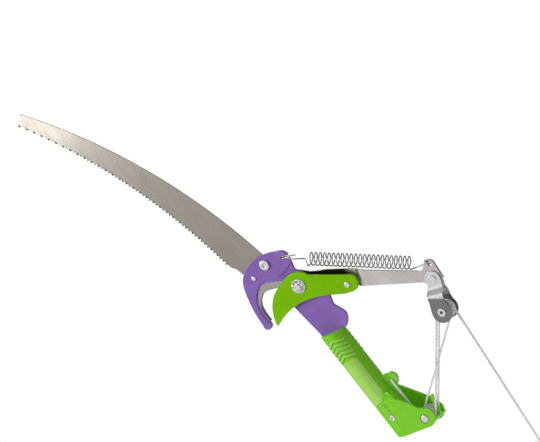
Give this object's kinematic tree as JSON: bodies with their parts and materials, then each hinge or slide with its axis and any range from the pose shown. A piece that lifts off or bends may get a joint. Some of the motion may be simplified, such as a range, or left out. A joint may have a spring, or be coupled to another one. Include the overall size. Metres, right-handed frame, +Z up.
{
  "type": "pole saw head",
  "caption": "Cutting head of a telescoping pole saw: curved pruning saw, rope-pulled bypass lopper with hook, return spring, pulleys and a pole socket.",
  "frame": {"origin": "centre of the pole socket's mouth, on the socket's axis, level with the higher side of its rim", "axes": "+Z up the pole's axis towards the saw, +X towards the lever and its pulley block, -Y the side that shows the lopper's blade"},
  "size_m": [0.3694, 0.0386, 0.77],
  "materials": {
    "saw_steel": "ground and polished steel",
    "anvil_steel": "blanked steel",
    "arm_steel": "brushed steel",
    "purple_paint": "satin powder coat",
    "green_paint": "satin powder coat",
    "zinc": "bright zinc plate",
    "spring_wire": "drawn wire",
    "green_plastic": "moulded plastic, satin",
    "sheave_nylon": "moulded nylon",
    "rope_white": "twisted polyamide rope"
  },
  "bodies": {
    "head": {"pole_socket": "green_plastic", "frame_plate": "purple_paint", "anvil_blade": "anvil_steel", "saw_blade": "saw_steel", "saw_bolt": "zinc", "saw_washer": "zinc", "saw_nut": "zinc", "saw_rivet": "zinc", "pivot_bush": "zinc", "pivot_bolt": "zinc", "pivot_nut": "zinc", "thrust_washers": "zinc", "pole_lock_screw": "zinc", "lower_axle": "zinc", "lower_axle_nut": "zinc", "lower_turns": "rope_white", "anchored_rope": "rope_white", "anchor_knot": "rope_white"},
    "lever": {"cutting_blade": "green_paint", "lever_arm": "arm_steel", "blade_rivet": "zinc", "spacer_sleeve": "zinc"},
    "pulley_block": {"front_cheek": "zinc", "rear_cheek": "zinc", "block_rivet": "zinc", "upper_axle": "zinc", "upper_turns": "rope_white", "pull_rope": "rope_white", "end_knot": "rope_white"},
    "front_upper_sheave": {"upper_sheave_front": "sheave_nylon"},
    "rear_upper_sheave": {"upper_sheave_rear": "sheave_nylon"},
    "front_lower_sheave": {"lower_sheave_front": "sheave_nylon"},
    "rear_lower_sheave": {"lower_sheave_rear": "sheave_nylon"},
    "falls": {"rope_falls": "rope_white"},
    "spring": {"return_spring": "spring_wire"},
    "spring_end": {"spring_tail": "spring_wire"}
  },
  "joints": [
    {"name": "lever_pivot", "type": "hinge", "parent": "head", "child": "lever", "pos_m": [0.005, 0, 0.2335], "axis": [0, 1, 0], "range_deg": [-20, 25]},
    {"name": "block_pivot", "type": "hinge", "parent": "lever", "child": "pulley_block", "pos_m": [0.1673, 0, 0.1343], "axis": [0, 1, 0], "range_deg": [-16.75, 13.5]},
    {"name": "upper_front_spin", "type": "hinge", "parent": "pulley_block", "child": "front_upper_sheave", "pos_m": [0.1524, 0, 0.093], "axis": [0, 1, 0], "continuous": true},
    {"name": "upper_rear_spin", "type": "hinge", "parent": "pulley_block", "child": "rear_upper_sheave", "pos_m": [0.1524, 0, 0.093], "axis": [0, 1, 0], "continuous": true},
    {"name": "lower_front_spin", "type": "hinge", "parent": "head", "child": "front_lower_sheave", "pos_m": [0.0374, 0, -0.003], "axis": [0, 1, 0], "continuous": true},
    {"name": "lower_rear_spin", "type": "hinge", "parent": "head", "child": "rear_lower_sheave", "pos_m": [0.0374, 0, -0.003], "axis": [0, 1, 0], "continuous": true},
    {"name": "falls_length", "type": "slide", "parent": "pulley_block", "child": "falls", "axis": [-0.7677, 0, -0.6408], "range_m": [-0.0841, 0.0675], "deforming": ["rope_falls"]},
    {"name": "spring_swing", "type": "hinge", "parent": "head", "child": "spring", "pos_m": [0.009, 0, 0.2755], "axis": [0, 1, 0], "range_deg": [-18.2, 22.62], "deforming": ["return_spring"]},
    {"name": "spring_stretch", "type": "slide", "parent": "spring", "child": "spring_end", "axis": [0.8056, 0, -0.5924], "range_m": [-0.0125, 0.0154], "deforming": ["spring_tail"]}
  ],
  "couplings": [
    {"joint": "block_pivot", "follows": "lever_pivot", "ratio": -0.65},
    {"joint": "falls_length", "follows": "lever_pivot", "m_per_rad": -0.1905},
    {"joint": "spring_swing", "follows": "lever_pivot", "ratio": 0.885},
    {"joint": "spring_stretch", "follows": "lever_pivot", "m_per_rad": 0.033}
  ]
}
